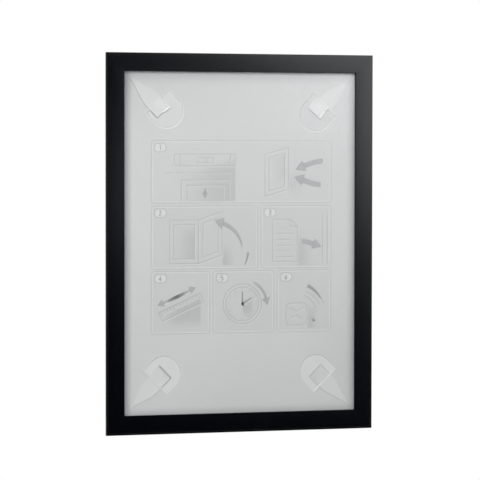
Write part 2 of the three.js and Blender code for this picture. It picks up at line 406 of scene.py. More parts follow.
# how far each corner's strip and window sit from their even places, along and across the diagonal
stripShift = {"top_left": (-1.75 * mm, -0.35 * mm), "top_right": (0.2 * mm, 0.4 * mm),
              "bottom_left": (0.8 * mm, 0.6 * mm), "bottom_right": (-0.6 * mm, 0.1 * mm)}
windowShift = {"top_left": (0, -2.9 * mm), "top_right": (-0.4 * mm, 0.6 * mm),
               "bottom_left": (0.2 * mm, 0.8 * mm), "bottom_right": (-1.3 * mm, 0.4 * mm)}


# the place of one corner's strip or window: X along the diagonal, Y through the wall, Z across
def diagonalPlace(corner, shift):
    sideX, sideZ = corners[corner]
    along, across = shift[corner]
    half = math.sqrt(0.5)
    inward = strip["tipFromCorner"] + along
    tipX = sideX * (outerSize.x / 2 - (inward - across) * half)
    tipZ = sideZ * (outerSize.z / 2 - (inward + across) * half)
    turn = sideX * sideZ
    return Matrix(((-sideX * half, 0, sideX * turn * half, tipX),
                   (0, 1, 0, 0),
                   (-sideZ * half, 0, -sideZ * turn * half, tipZ),
                   (0, 0, 0, 1)))


# a finger window's D shape, grown by a margin; its flat side may grow by less
def gripOutline(grow=0.0, flatGrow=None):
    radius = grip["width"] / 2 + grow
    start = grip["flatSide"] - (grow if flatGrow is None else flatGrow)
    middle = grip["flatSide"] + grip["straight"]
    points = [(start, -radius)]
    for step in range(grip["steps"] + 1):
        angle = math.pi * (step / grip["steps"] - 0.5)
        points.append((middle + radius * math.cos(angle), radius * math.sin(angle)))
    points.append((start, radius))
    return points


# the frosted panel; the painted shade towards the black border is, for each side, a strength and, in
# millimetres from the border, where it is full and where it ends; the patches of painted light and
# shade have places and reaches in millimetres
panel = {
    "colour": (0.605, 0.614, 0.6055),
    "edgeShade": (0.60, 0.60, 0.63),
    "borderShadeFades": {"left": (0.95, 1.5, 8), "right": (0.45, 0.5, 8), "top": (0.42, 2, 11.5),
                  "bottom": (0.26, 2, 7.5)},
    "leafTone": 1.085,
    "leafRelief": 0.12 * mm,
    "leafShoulder": 1.2 * mm,
    "leafBlur": 0.7 * mm,
    "lineBlur": 0.5 * mm,
    "shadowLineEdges": (-0.45 * mm, 0.35 * mm),
    "leafShadowLines": {"top_left": 0.22, "top_right": 0.03, "bottom_left": 0.16, "bottom_right": 0.16},
    "flatSideShadows": {"bottom_left": (0.1, 1.3 * mm)},
    "creaseWidth": 0.7 * mm,
    "flatSideShadowBlur": 0.4 * mm,
    "paintedLightPatches": [(-100, 150, 190, 75, -0.09), (110, -110, 70, 110, -0.07), (0, -150, 130, 80, -0.045),
                (-105, 25, 60, 75, 0.03), (95, 115, 60, 50, 0.03), (112, 0, 28, 220, -0.045),
                (-104, 140, 15, 30, -0.2), (100, 143, 34, 14, 0.07)],
    "paintedLightFade": (0.5, 1.0),
    "cloud": 0.012,
    "cloudScale": 14,
    "fineCloud": 0.005,
    "fineCloudScale": 90,
    "roughness": (0.42, 0.5),
    "smudgeScale": 20,
    "grainScale": 2500,
    "grain": 0.2,
    "grainHeight": 0.02 * mm,
    "flatNormal": 0.985,
    # the windows' cut edges are whiter than the sheet, a painted highlight on their rims, a little dimmer in
    # the upper windows; the sheet's outer sides are black
    "edges": {"cut_edge_upper_highlight": (0.71, 0.72, 0.71), "black_taped_edge": (0.01, 0.01, 0.011),
              "cut_edge_lower_highlight": (0.73, 0.74, 0.73)},
    "cutEdge": {"cloud": 0.02, "cloudScale": 200, "roughness": (0.6, 0.7), "smudgeScale": 150,
                "grainScale": 2500, "grain": 0.1, "grainHeight": 0.01 * mm},
}


# 1 where a value passes a limit, softened over a width
def passing(tree, value, limit, softness):
    half = softness / 2
    return remap(tree, value, limit - half, limit + half, interpolation_type="SMOOTHSTEP")


# 1 between two limits
def between(tree, value, start, end, softness):
    past = passing(tree, value, end, softness)
    return calculate(tree, "SUBTRACT", passing(tree, value, start, softness), past)


# where the strips behind the panel wet it through: a pointed leaf on each diagonal, and the painted
# shadow line along the lower side of some of them
def leafMasks(tree, x, z):
    diagonal = math.sqrt(0.5)
    leaves, lines = 0.0, 0.0
    for corner, (sideX, sideZ) in corners.items():
        shiftAlong, shiftAcross = stripShift[corner]
        fromSide = calculate(tree, "MULTIPLY_ADD", x, -sideX * diagonal, outerSize.x / 2 * diagonal)
        fromEnd = calculate(tree, "MULTIPLY_ADD", z, -sideZ * diagonal, outerSize.z / 2 * diagonal)
        along = calculate(tree, "ADD", fromSide, fromEnd)
        along = calculate(tree, "SUBTRACT", along, strip["tipFromCorner"] + shiftAlong)
        across = calculate(tree, "SUBTRACT", calculate(tree, "SUBTRACT", fromEnd, fromSide), shiftAcross)
        taper = calculate(tree, "MULTIPLY", along, strip["width"] / 2 / strip["tapers"][corner])
        reach = calculate(tree, "SMOOTH_MIN", taper, strip["width"] / 2, panel["leafShoulder"])
        fromCentre = calculate(tree, "ABSOLUTE", across)
        leaf = passing(tree, calculate(tree, "SUBTRACT", reach, fromCentre), 0, panel["leafBlur"])
        beyond = passing(tree, along, strip["length"] + mm, panel["lineBlur"])
        beforeTab = calculate(tree, "SUBTRACT", 1.0, beyond)
        leaves = calculate(tree, "MULTIPLY_ADD", leaf, beforeTab, leaves)
        # a painted shadow line along the leaf's lower side
        inside = calculate(tree, "MULTIPLY_ADD", across, -sideZ, reach)
        line = between(tree, inside, *panel["shadowLineEdges"], panel["lineBlur"])
        length = calculate(tree, "MULTIPLY", beforeTab, passing(tree, along, mm, mm))
        line = calculate(tree, "MULTIPLY", line, length)
        lines = calculate(tree, "MULTIPLY_ADD", line, panel["leafShadowLines"][corner], lines)
        # a painted shadow line along the window's flat side
        if corner in panel["flatSideShadows"]:
            strength, outside = panel["flatSideShadows"][corner]
            middle = grip["flatSide"] + windowShift[corner][0] - shiftAlong - outside
            half = panel["creaseWidth"] / 2
            crease = between(tree, along, middle - half, middle + half, panel["flatSideShadowBlur"])
            beside = calculate(tree, "SUBTRACT", grip["width"] / 2 + mm, fromCentre)
            crease = calculate(tree, "MULTIPLY", crease, passing(tree, beside, 0, mm))
            lines = calculate(tree, "MULTIPLY_ADD", crease, strength, lines)
    return leaves, lines


# soft grey fills inside the printed drawings: a strength, and the lines that bound each one, as a
# point in millimetres, the angle of the side that is filled and the width over which it fades in
fills = [
    (0.15, [(-58, 50, 0, 44), (-4, 50, 180, 0.6), (-30, 35, 90, 0.6), (-58, 62, 284, 9)]),
    (0.10, [(25.5, 60, 0, 16), (39.5, 60, 180, 0.5), (25.5, 73, 285, 0.5), (25.5, 44.5, 105, 12)]),
    (0.09, [(43, 46, 0, 0.5), (43, 40, 60, 12), (43, 62, 300, 12), (58, 46, 180, 12)]),
    (0.15, [(-58.5, 0, 0, 20), (-40.5, 0, 180, 0.5), (-50, -13, 90, 0.5), (-50, 16, 270, 12)]),
    (0.15, [(-16, 0, 0, 0.5), (-3, 0, 180, 11), (-16, -19, 90, 0.8), (-16, 8, 250, 22)]),
    (0.13, [(51, 0, 0, 0.5), (66, 0, 180, 12), (51, -20, 90, 0.8), (51, 16, 240, 18)]),
    (0.15, [(-70.3, -62.1, 294, 0.6), (-34, -50, 180, 2), (-52, -74, 90, 12), (-72, -60, 0, 18)]),
    (0.15, [(2, -52, 0, 0.5), (2, -52, 300, 0.5), (13, -52, 180, 5), (2, -65, 90, 8)]),
    (0.13, [(60, -60, 0, 0.5), (72, -60, 180, 10), (60, -74, 90, 1), (60, -50, 300, 16)]),
]


def boxLines(box):
    left, right, low, high = box
    sides = ((left, low, 0), (left, low, 90), (right, high, 180), (right, high, 270))
    return [(*side, drawing["boxFade"]) for side in sides]


def fillShade(tree, x, z):
    total = 0.0
    boxFills = zip(drawing["boxFills"], map(boxLines, drawing["boxes"]))
    for strength, lines in [*boxFills, *fills]:
        mask = strength
        for pointX, pointZ, angle, fade in lines:
            alongX, alongZ = math.cos(math.radians(angle)), math.sin(math.radians(angle))
            start = (pointX * alongX + pointZ * alongZ + fade / 2) * mm
            distance = calculate(tree, "MULTIPLY_ADD", x, alongX, calculate(tree, "MULTIPLY", z, alongZ))
            mask = calculate(tree, "MULTIPLY", mask, passing(tree, distance, start, fade * mm))
        total = calculate(tree, "ADD", total, mask)
    return calculate(tree, "SUBTRACT", 1.0, total)


# broad patches of painted light and shade: painted reflections of the lamps in the film where lighter,
# painted shade where darker; each has a middle, reach along X and Z, and strength
def paintedLightTone(tree, x, z):
    tone = 1.0
    for middleX, middleZ, reachX, reachZ, strength in panel["paintedLightPatches"]:
        alongX = calculate(tree, "MULTIPLY_ADD", x, 1 / (reachX * mm), -middleX / reachX)
        alongZ = calculate(tree, "MULTIPLY_ADD", z, 1 / (reachZ * mm), -middleZ / reachZ)
        squares = calculate(tree, "MULTIPLY_ADD", alongX, alongX, calculate(tree, "MULTIPLY", alongZ, alongZ))
        outside = passing(tree, calculate(tree, "SQRT", squares), *panel["paintedLightFade"])
        inside = calculate(tree, "SUBTRACT", 1.0, outside)
        tone = calculate(tree, "MULTIPLY_ADD", inside, strength, tone)
    return tone


def makePanelMaterial():
    material, tree, shader = newMaterial("frosted_grey_sheet")
    position = addNode(tree, "TexCoord").outputs["Object"]
    split = addNode(tree, "SeparateXYZ", {"Vector": position}).outputs
    x, z = split["X"], split["Z"]
    leaf, leafShadowLine = leafMasks(tree, x, z)
    tone = calculate(tree, "MULTIPLY_ADD", leaf, panel["leafTone"] - 1, 1.0)
    # the painted shadow lines darken the tone
    tone = calculate(tree, "SUBTRACT", tone, leafShadowLine)
    cloud = noiseBetween(tree, position, panel["cloudScale"], 1 - panel["cloud"], 1 + panel["cloud"])
    fineCloud = panel["fineCloud"]
    fine = noiseBetween(tree, position, panel["fineCloudScale"], 1 - fineCloud, 1 + fineCloud)
    # the painted light and shade patches scale the cloud
    cloud = calculate(tree, "MULTIPLY", cloud, paintedLightTone(tree, x, z))
    tone = calculate(tree, "MULTIPLY", calculate(tree, "MULTIPLY", tone, cloud),
                     calculate(tree, "MULTIPLY", fine, fillShade(tree, x, z)))
    # painted shade from the black border: darker and bluer towards it
    openWidth, openHeight = outerSize.x / 2 - bezel["width"], outerSize.z / 2 - bezel["width"]
    distances = {"left": calculate(tree, "ADD", x, openWidth),
                 "right": calculate(tree, "SUBTRACT", openWidth, x),
                 "top": calculate(tree, "SUBTRACT", openHeight, z),
                 "bottom": calculate(tree, "ADD", z, openHeight)}
    clear = 1.0
    for side, (strength, near, far) in panel["borderShadeFades"].items():
        away = passing(tree, distances[side], (near + far) / 2 * mm, (far - near) * mm)
        away = calculate(tree, "MULTIPLY_ADD", away, strength, 1 - strength)
        clear = calculate(tree, "MULTIPLY", clear, away)
    fade = calculate(tree, "SUBTRACT", 1.0, clear)
    shaded = addNode(tree, "Mix", {"Factor": fade}, data_type="RGBA")
    shaded.inputs["A"].default_value = (*panel["colour"], 1)
    edge = [value * shade for value, shade in zip(panel["colour"], panel["edgeShade"])]
    shaded.inputs["B"].default_value = (*edge, 1)
    toned = addNode(tree, "VectorMath", {"Vector": shaded.outputs["Result"], "Scale": tone},
                    operation="SCALE")
    tree.links.new(toned.outputs["Vector"], shader.inputs["Base Color"])
    low, high = panel["roughness"]
    tree.links.new(noiseBetween(tree, position, panel["smudgeScale"], low, high), shader.inputs["Roughness"])
    grain = noise(tree, position, panel["grainScale"], 2.0)
    fineBump = bumpNormal(tree, grain, panel["grain"], panel["grainHeight"])
    relief = bumpNormal(tree, leaf, 1.0, panel["leafRelief"], {"Normal": fineBump})
    tree.links.new(relief, shader.inputs["Normal"])
    return material


def makeRearPanel():
    frosted = makePanelMaterial()
    bm = bmesh.new()
    for depth, grown in ((panelFront, 1), (panelRear, 0)):
        outlines = [sheetCorners()]
        for corner in corners:
            place = diagonalPlace(corner, windowShift)
            outline = gripOutline(grip["rimWidths"][corner] * grown)
            outlines.append([(place @ Vector((along, 0, across))).xz for along, across in outline])
        fillOutlines(bm, outlines, depth)
    skinRings(bm, [atDepth(sheetCorners(), depth) for depth in (panelFront, panelRear)], closed=False)
    for corner in corners:
        rings = []
        for away, left in quarterRound(grip["rimSteps"]):
            outline = gripOutline(grip["rimWidths"][corner] * left)
            rings.append(atDepth(outline, panelFront + grip["rimDepth"] * away))
        rings.append(atDepth(gripOutline(), panelRear))
        skinRings(bm, rings, closed=False, place=diagonalPlace(corner, windowShift))
    bm.normal_update()
    for face in bm.faces:
        middle = face.calc_center_median()
        inside = abs(middle.x) < layerSize.x / 2 - mm and abs(middle.z) < layerSize.z / 2 - mm
        # window rims take the painted-highlight cut-edge colours, upper or lower; outer sides take the black
        # one
        if abs(face.normal.y) < panel["flatNormal"]:
            face.material_index = (1 if middle.z > 0 else 3) if inside else 2
    sheet = makePiece("frosted_panel_sheet", bm, frosted, "rear", ["rear_panel"])
    for name, colour in panel["edges"].items():
        sheet.data.materials.append(makeSurface(name, dict(panel["cutEdge"], colour=colour)))
    print("rear panel made")


# a sticky strip's outline: a pointed end with round shoulders
def leafOutline(corner):
    half, taper, radius = strip["width"] / 2, strip["tapers"][corner], strip["shoulderRadius"]
    slope = math.atan2(half, taper)
    flank = []
    for step in range(strip["shoulderSteps"] + 1):
        angle = slope * (1 - step / strip["shoulderSteps"])
        flank.append((taper + radius * (math.tan(slope / 2) - math.sin(angle)),
                      half - radius * (1 - math.cos(angle))))
    flank.append((strip["length"], half))
    return [(0, 0), *flank, *[(along, -across) for along, across in reversed(flank)]]


# the front of a tab: flat across, rising and curling towards its free end, with its wrinkles
def tabDepth(tab, share, across):
    rise = tab["rise"] * share + tab["curl"] * share ** 3 + tab["twist"] * share * across
    for atShare, atAcross, long, wide, height in tab["wrinkles"]:
        rise += height * math.exp(-((share - atShare) / long) ** 2 - ((across - atAcross) / wide) ** 2)
    return panelFront + tab["depth"] - rise


def makeTab(corner, foamHighlight, flatSide):
    tab = tabs[corner]
    finish = dict(strip["foam"], colour=[value * tab["tone"] for value in strip["foam"]["colour"]])
    foam = makeSurface(f"white_foam_{corner}", finish)
    start, end = flatSide + tab["start"], strip["length"] + strip["tabLength"]
    bm = bmesh.new()
    bmesh.ops.create_grid(bm, x_segments=strip["tabSteps"], y_segments=strip["tabSteps"], size=0.5)
    # a painted highlight: the faces of a folded lip at the end take the whiter edge colour
    lipShare, lipAcross = tab["lip"] or (1, 1)
    for face in bm.faces:
        middle = face.calc_center_median()
        face.material_index = int(middle.x + 0.5 > lipShare and middle.y > lipAcross)
    for vert in bm.verts:
        share, across = vert.co.x + 0.5, vert.co.y
        # the far half of one side reaches on, past a slanted step near the middle
        oneSide = min(1, max(0, 0.5 + across * strip["reachSlope"]))
        further = tab["reach"] * oneSide * max(0, share * 2 - 1)
        vert.co = (start + share * (end - start) + further, tabDepth(tab, share, across),
                   across * strip["width"] + tab["slide"])
    bmesh.ops.translate(bm, verts=extrude(bm), vec=(0, strip["tabThickness"], 0))
    bmesh.ops.recalc_face_normals(bm, faces=bm.faces)
    rim = [edge for edge in bm.edges if edge.calc_face_angle(0) > sharpTurn]
    bevelEdges(bm, rim, strip["edgeRounding"])
    bmesh.ops.rotate(bm, verts=bm.verts, cent=((start + end) / 2, 0, 0),
                     matrix=Matrix.Rotation(math.radians(tab["turn"]), 3, "Y"))
    bm.transform(diagonalPlace(corner, stripShift))
    bm.normal_update()
    # faces turned sideways, like the lip, take the whiter edge colour: a painted highlight
    for face in bm.faces:
        face.material_index = int(face.material_index or abs(face.normal.y) < strip["frontNormal"])
    piece = makePiece(f"grip_tab_{corner}", bm, foam, "rear", [f"pull_tab_{corner}"])
    piece.data.materials.append(foamHighlight)


# the finger film: a plate with a raised middle, in some windows with a pocket round the tab
def makeFingerFilm(corner, moved):
    finish = dict(grip["film"], colour=[value * grip["tones"][corner] for value in grip["film"]["colour"]])
    milky = makeSurface(f"milky_film_{corner}", finish)
    filmFlat = panelRear + grip["filmSeat"]
    filmBack = filmFlat + grip["filmThickness"]
    raised = filmFlat - grip["filmRise"]
    rounding, sideGap = grip["edgeRounding"], grip["sideGap"]
    bm = bmesh.new()
    outlines = [gripOutline(-rounding)]
    if tabs[corner]["gaps"]:
        endGap, lowGap, highGap = tabs[corner]["gaps"]
        halfTab = strip["width"] / 2
        pocketEnd = strip["length"] + strip["tabLength"] + endGap + moved[0]
        low, high = moved[1] - halfTab - lowGap, moved[1] + halfTab + highGap
        pocketStart = grip["flatSide"] + rounding + grip["pocketInset"]
        pocket = [(pocketStart, low), (pocketEnd, low), (pocketEnd, high), (pocketStart, high)]
        outlines.append(pocket)
        skinRings(bm, [atDepth(pocket, raised), atDepth(pocket, filmFlat)], closed=False)
        addFace(bm, atDepth(pocket, filmFlat)).material_index = 1
    fillOutlines(bm, outlines, raised)
    rings = [atDepth(gripOutline(-rounding), raised)]
    for away, left in quarterRound(grip["edgeSteps"])[1:]:
        rings.append(atDepth(gripOutline(-sideGap - rounding * left), raised + rounding * away))
    margin = gripOutline(grip["filmMargin"], grip["flatSide"] - strip["length"] - strip["gap"] - moved[0])
    rings += [atDepth(gripOutline(-sideGap), filmFlat), atDepth(margin, filmFlat), atDepth(margin, filmBack)]
    skinRings(bm, rings, closed=False)
    fillOutlines(bm, [margin], filmBack)
    bm.transform(diagonalPlace(corner, windowShift))
    piece = makePiece(f"finger_film_{corner}", bm, milky, "rear", [f"grip_film_{corner}"])
    # where there is a pocket, its floor is painted darker: painted shade round the tab
    if tabs[corner]["gaps"]:
        shaded = [value * grip["pocketShades"][corner] for value in finish["colour"]]
        piece.data.materials.append(makeSurface(f"pocket_floor_shade_{corner}", dict(finish, colour=shaded)))


def makeStrips():
    foam = makeSurface("white_foam", strip["foam"])
    foamHighlight = makeSurface("foam_edge_highlight", dict(strip["foam"], colour=strip["edgeHighlightColour"]))
    for corner, (sideX, sideZ) in corners.items():
        bm = bmesh.new()
        addFace(bm, atDepth(leafOutline(corner), panelRear))
        thicken(bm, wallPlane)
        bevelEdges(bm, rimEdges(bm, wallPlane), strip["edgeRounding"])
        bm.transform(diagonalPlace(corner, stripShift))
        makePiece(f"sticky_strip_{corner}", bm, foam, "rear", [f"adhesive_strip_{corner}"])
        # from the window's frame to the strip's: along, and across with the place's own sense
        moved = [there - here for there, here in zip(stripShift[corner], windowShift[corner])]
        moved[1] *= sideX * sideZ
        makeTab(corner, foamHighlight, grip["flatSide"] - moved[0])
        makeFingerFilm(corner, moved)
    print("strips, tabs and finger films made")


# the drawings printed on the panel, in millimetres: plain step pictures in six boxes
drawing = {
    "boxes": [(-78.3, 81.3, 34.5, 87.5), (-78.3, 15.5, -21.5, 32), (18.5, 81.3, -21.5, 32),
              (-78.3, -27, -76.5, -23.5), (-24, 30, -76.5, -23.5), (33, 81.3, -76.5, -23.5)],
    "boxFills": (0.02, 0.05, 0.04, 0.045, 0.045, 0.045),
    "boxFade": 0.4,
    "boxRadius": 3.2,
    "boxSteps": 5,
    "boxLine": 0.75,
    "fineLine": 0.65,
    "paleOffset": (0.55, -0.6),
    "thickness": 0.03,
    "seat": 0.01,
    "boxInset": 0.9,
    "badge": {"left": 2.6, "right": 13, "low": 9.6, "high": 2.2, "radius": 3.6, "line": 0.6},
    "numeral": {"left": 6.8, "low": 7.9, "line": 0.7},
    "shadeLine": 0.5,
    "headWidth": 0.6,
    "leastMitre": 0.6,
    "ink": {"cloud": 0.03, "cloudScale": 120, "roughness": (0.4, 0.5), "smudgeScale": 60,
            "grainScale": 2500, "grain": 0.2, "grainHeight": 0.01 * mm},
    # pale is both the badges' printed fill and the painted highlight beside the dark lines
    "tones": {"pale": (0.665, 0.676, 0.668), "line": (0.49, 0.50, 0.495), "fine": (0.43, 0.44, 0.435),
              "body": (0.42, 0.43, 0.426), "bold": (0.34, 0.347, 0.345)},
}
# strokes of the numerals 1 to 6 on a grid 2 wide and 4 high
numerals = {
    1: [[(0.3, 3.2), (1.2, 4), (1.2, 0)]],
    2: [[(0, 3.4), (0.5, 4), (1.7, 4), (2, 3.2), (0, 0), (2, 0)]],
    3: [[(0, 4), (2, 4), (1, 2.4), (2, 1.6), (1.8, 0.4), (1, 0), (0, 0.3)]],
    4: [[(1.5, 0), (1.5, 4), (0, 1.2), (2, 1.2)]],
    5: [[(2, 4), (0.2, 4), (0, 2.2), (1.5, 2.4), (2, 1.4), (1.5, 0.1), (0, 0.2)]],
    6: [[(1.7, 4), (0.3, 2.2), (0, 0.8), (1, 0), (2, 0.9), (1, 2), (0.2, 1.5)]],
}


def roundedBox(left, right, low, high, radius):
    points = []
    centres = ((right - radius, high - radius), (left + radius, high - radius),
               (left + radius, low + radius), (right - radius, low + radius))
    for quarter, (x, z) in enumerate(centres):
        points += arcPoints(x, z, radius, 90 * quarter, 90 * (quarter + 1), drawing["boxSteps"])
    return points


def arcPoints(x, z, radius, start, end, steps):
    angles = [math.radians(start + (end - start) * step / steps) for step in range(steps + 1)]
    return [(x + radius * math.cos(angle), z + radius * math.sin(angle)) for angle in angles]


# a flat ribbon along a path, mitred at its turns and tapered if it has a second width
def addRibbon(bm, path, width, closed=False, endWidth=None):
    points = [Vector(point) for point in path]
    count = len(points)
    sides = []
    for index, point in enumerate(points):
        before = points[index - 1] if index or closed else point
        after = points[(index + 1) % count] if index + 1 < count or closed else point
        arriving, leaving = (point - before).normalized(), (after - point).normalized()
        direction = (arriving + leaving).normalized()
        side = Vector((-direction.y, direction.x))
        mitre = side.dot(Vector((-leaving.y, leaving.x))) if leaving.length else 1
        share = index / (count - 1)
        half = (width + ((endWidth or width) - width) * share) / 2 / max(drawing["leastMitre"], mitre)
        edges = atDepth((point - side * half, point + side * half), 0)
        sides.append([bm.verts.new(place) for place in edges])
    for index in range(count if closed else count - 1):
        (a, b), (c, d) = sides[index], sides[(index + 1) % count]
        bm.faces.new((a, c, d, b))


# a path drawn as an arrow: the shaft widens to its head, which points on along the path's end
def addArrow(bm, path, width, head, startWidth):
    addRibbon(bm, path, startWidth, endWidth=width)
    addFace(bm, atDepth(arrowHead(path, head), 0))


def arrowHead(path, head):
    last, before = Vector(path[-1]), Vector(path[-2])
    direction = (last - before).normalized()
    side = Vector((-direction.y, direction.x)) * head * drawing["headWidth"]
    return last + side, last - side, last + direction * head


def turned(points, x, z, angle):
    cosine, sine = math.cos(math.radians(angle)), math.sin(math.radians(angle))
    return [(x + px * cosine - pz * sine, z + px * sine + pz * cosine) for px, pz in points]


# every drawing's paths in millimetres: fine lines (path, closed), bold strokes (path, width and,
# where it tapers, end width) and arrows (path, width, head, width at the start)
def drawingPaths():
    fine, bold, arrows = [], [], []

    # a line of two points is never closed
    def outline(points, closed=True):
        fine.append((points, closed and len(points) > 2))

    # 1: a level held over a frame, and the frame pressed to the wall
    outline(roundedBox(-58, -4, 66, 76, 1.5))
    outline(roundedBox(-38, -24, 68.5, 73.5, 2.4))
    outline(arcPoints(-30, 71, 1.5, 0, 330, 10))
    outline([(-53, 66), (-53, 76)])
    outline([(-9, 66), (-9, 76)])
    for dash in range(7):
        outline([(-66 + dash * 10, 60), (-60 + dash * 10, 60)])
    outline([(-52, 36), (-52, 54), (-10, 54), (-10, 36)], False)
    outline([(-47, 36), (-47, 49.5), (-15, 49.5), (-15, 36)], False)
    outline([(22, 40), (22, 76), (43, 82), (43, 46)])
    outline([(25.5, 44.5), (25.5, 73), (39.5, 77), (39.5, 48.5)])
    arrows.append(([(74, 71), (66, 69.5), (57, 66)], 4.6, 8, 3.4))
    arrows.append(([(72, 50), (64, 51.5), (56, 54)], 4.6, 8, 3.4))
    arrows.append(([(-31, 47), (-31, 43)], 2.4, 4.5, 2.4))
    # 2: the cover opened like a door
    outline([(-62, -17), (-62, 20), (-37, 20), (-37, -17)])
    outline([(-58.5, -13), (-58.5, 16), (-40.5, 16), (-40.5, -13)])
    outline([(-37, 20), (-16, 27), (-16, -10), (-37, -17)], False)
    outline([(-33, 17), (-19.5, 21.5), (-19.5, -7), (-33, -11.5)])
    arrows.append((arcPoints(-22, -6, 24, 8, 74, 14), 3.6, 7.5, 1.2))
    bold.append((arcPoints(-22, -6, 29, -26, -4, 8), 1.0, 2.2))
    # 3: a sheet slid in
    outline([(29, -16), (29, 20), (45, 20), (51, 14), (51, -16)])
    outline([(45, 20), (45, 14), (51, 14)], False)
    for row in range(5):
        outline([(33, 8 - 5 * row), (47 - 3 * (row % 2), 8 - 5 * row)])
    outline([(74, -18), (74, 26)])
    outline([(78, -18), (78, 26)])
    arrows.append(([(55, 2), (60, 1), (65.5, -1)], 4.2, 7.5, 3))
    # 4: a ruler and its measure
    ruler = [(-20, -4), (20, -4), (20, 4), (-20, 4)]
    outline(turned(ruler, -52, -54, 24))
    for tick in range(13):
        along, end = -18 + tick * 3, 1.4 if tick % 4 else -0.4
        outline(turned([(along, 4), (along, end)], -52, -54, 24))
    arrows.append((turned([(0, 10), (13, 10)], -52, -54, 24), 2.2, 5, 2.2))
    arrows.append((turned([(0, 10), (-13, 10)], -52, -54, 24), 2.2, 5, 2.2))
    # 5: a clock, left to wait
    outline(arcPoints(2, -52, 17, 0, 350, 36))
    outline(arcPoints(2, -52, 14.5, 0, 350, 36))
    for hour in range(12):
        outline(turned([(11.5, 0), (13.5, 0)], 2, -52, 30 * hour))
    bold.append(([(2, -53), (2, -41.5)], 2.0, 1.2))
    bold.append(([(1.2, -52.4), (10, -47)], 2.2, 1.4))
    arrows.append((arcPoints(2, -52, 21.5, 62, 12, 10), 2.6, 5.6, 1.0))
    # 6: a cloth wiped over the sheet
    outline(roundedBox(41, 60, -71, -52, 4))
    outline([(44, -56), (50, -59), (57, -55.5)], False)
    outline([(44.5, -65), (51, -62.5), (56, -66)], False)
    for ring in range(3):
        outline(arcPoints(52, -62, 17 + ring * 4, 18, 72, 8), False)
    bold.append((arcPoints(50, -60, 25, 28, 66, 10), 1.2, 3.4))
    for angle in range(0, 180, 45):
        reach = 2.2 if angle % 90 else 3.4
        outline(turned([(-reach, 0), (reach, 0)], 66, -67, angle))
    return fine, bold, arrows


# the same path beside itself, for the pale line, a painted highlight that gives each dark one the look of
# relief
def besidePath(path):
    offsetX, offsetZ = drawing["paleOffset"]
    return [(x + offsetX, z + offsetZ) for x, z in path]


# a box's two lines, and its number in a badge at its upper left
def drawBox(shapes, number, box):
    left, right, low, high = box
    radius, inset = drawing["boxRadius"], drawing["boxInset"]
    addRibbon(shapes["line"], roundedBox(*box, radius), drawing["boxLine"], closed=True)
    # the inner pale line is a painted highlight along the box line
    inner = roundedBox(left + inset, right - inset, low + inset, high - inset, radius - inset)
    addRibbon(shapes["pale"], inner, drawing["boxLine"], closed=True)
    badge, numeral = drawing["badge"], drawing["numeral"]
    rim = roundedBox(left + badge["left"], left + badge["right"], high - badge["low"], high - badge["high"],
                     badge["radius"])
    addRibbon(shapes["fine"], rim, badge["line"], closed=True)
    addFace(shapes["pale"], atDepth(rim, 0))
    for stroke in numerals[number]:
        placed = [(left + numeral["left"] + x, high - numeral["low"] + z) for x, z in stroke]
        addRibbon(shapes["bold"], placed, numeral["line"])


def makeDrawings():
    fine, bold, arrows = drawingPaths()
    shapes = {tone: bmesh.new() for tone in drawing["tones"]}
    for number, box in enumerate(drawing["boxes"], 1):
        drawBox(shapes, number, box)
    for path, closed in fine:
        addRibbon(shapes["fine"], path, drawing["fineLine"], closed)
        addRibbon(shapes["pale"], besidePath(path), drawing["fineLine"], closed)
    for path, width, *endWidth in bold:
        addRibbon(shapes["bold"], path, width, False, *endWidth)
        addRibbon(shapes["pale"], besidePath(path), width, False, *endWidth)
    for path, width, head, startWidth in arrows:
        addArrow(shapes["body"], path, width, head, startWidth)
        # dark lines along the lower side of the shaft and round the head
        lower = [(x - drawing["paleOffset"][0] / 2, z - width / 2) for x, z in path]
        addRibbon(shapes["bold"], lower, drawing["shadeLine"])
        addRibbon(shapes["bold"], arrowHead(path, head), drawing["shadeLine"], closed=True)
        # a pale copy of the arrow beside it: a painted highlight
        addArrow(shapes["pale"], besidePath(path), width, head, startWidth)
    for level, (tone, colour) in enumerate(drawing["tones"].items(), 1):
        ink = makeSurface(f"print_{tone}", dict(drawing["ink"], colour=colour))
        bm = shapes[tone]
        front = panelFront - level * drawing["thickness"] * mm
        bm.transform(Matrix.Translation((0, front, 0)) @ Matrix.Scale(mm, 4))
        thicken(bm, panelFront + drawing["seat"] * mm)
        makePiece(f"drawn_{tone}", bm, ink, "rear")
    print("drawings made")


# the strips that hold the cover shut and the folded hinge film, by the start of their names
hidden = {
    "magnet": ("magnet_rubber", {
        "colour": (0.016, 0.015, 0.014), "cloud": 0.15, "cloudScale": 60, "roughness": (0.55, 0.7),
        "smudgeScale": 90, "grainScale": 1600, "grain": 0.5, "grainHeight": 0.04 * mm}),
    "steel": ("black_faced_steel", {
        "colour": (0.013, 0.013, 0.0135), "cloud": 0.1, "cloudScale": 40, "roughness": (0.3, 0.45),
        "smudgeScale": 60, "grainScale": 900, "grain": 0.2, "grainHeight": 0.02 * mm}),
    "hinge": ("black_hinge_film", {
        "colour": (0.012, 0.012, 0.013), "cloud": 0.1, "cloudScale": 50, "roughness": (0.4, 0.5),
        "smudgeScale": 60, "grainScale": 2500, "grain": 0.3, "grainHeight": 0.02 * mm}),
}


def dressHidden():
    for start, (name, finish) in hidden.items():
        material = makeSurface(name, finish)
        for node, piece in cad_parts.items():
            if node.startswith(start):
                piece.data.materials.clear()
                piece.data.materials.append(material)
    print("magnet, steel and hinge strips dressed")


# the photograph's view, and plain studio light
view = {
    "place": (-0.5703, -2.0128, 0.0783),
    "yaw": 15.825,
    "pitch": -2.0695,
    "roll": -0.089,
    "lens": 183.6,
    "sensor": 36,
    "far": 50,
}
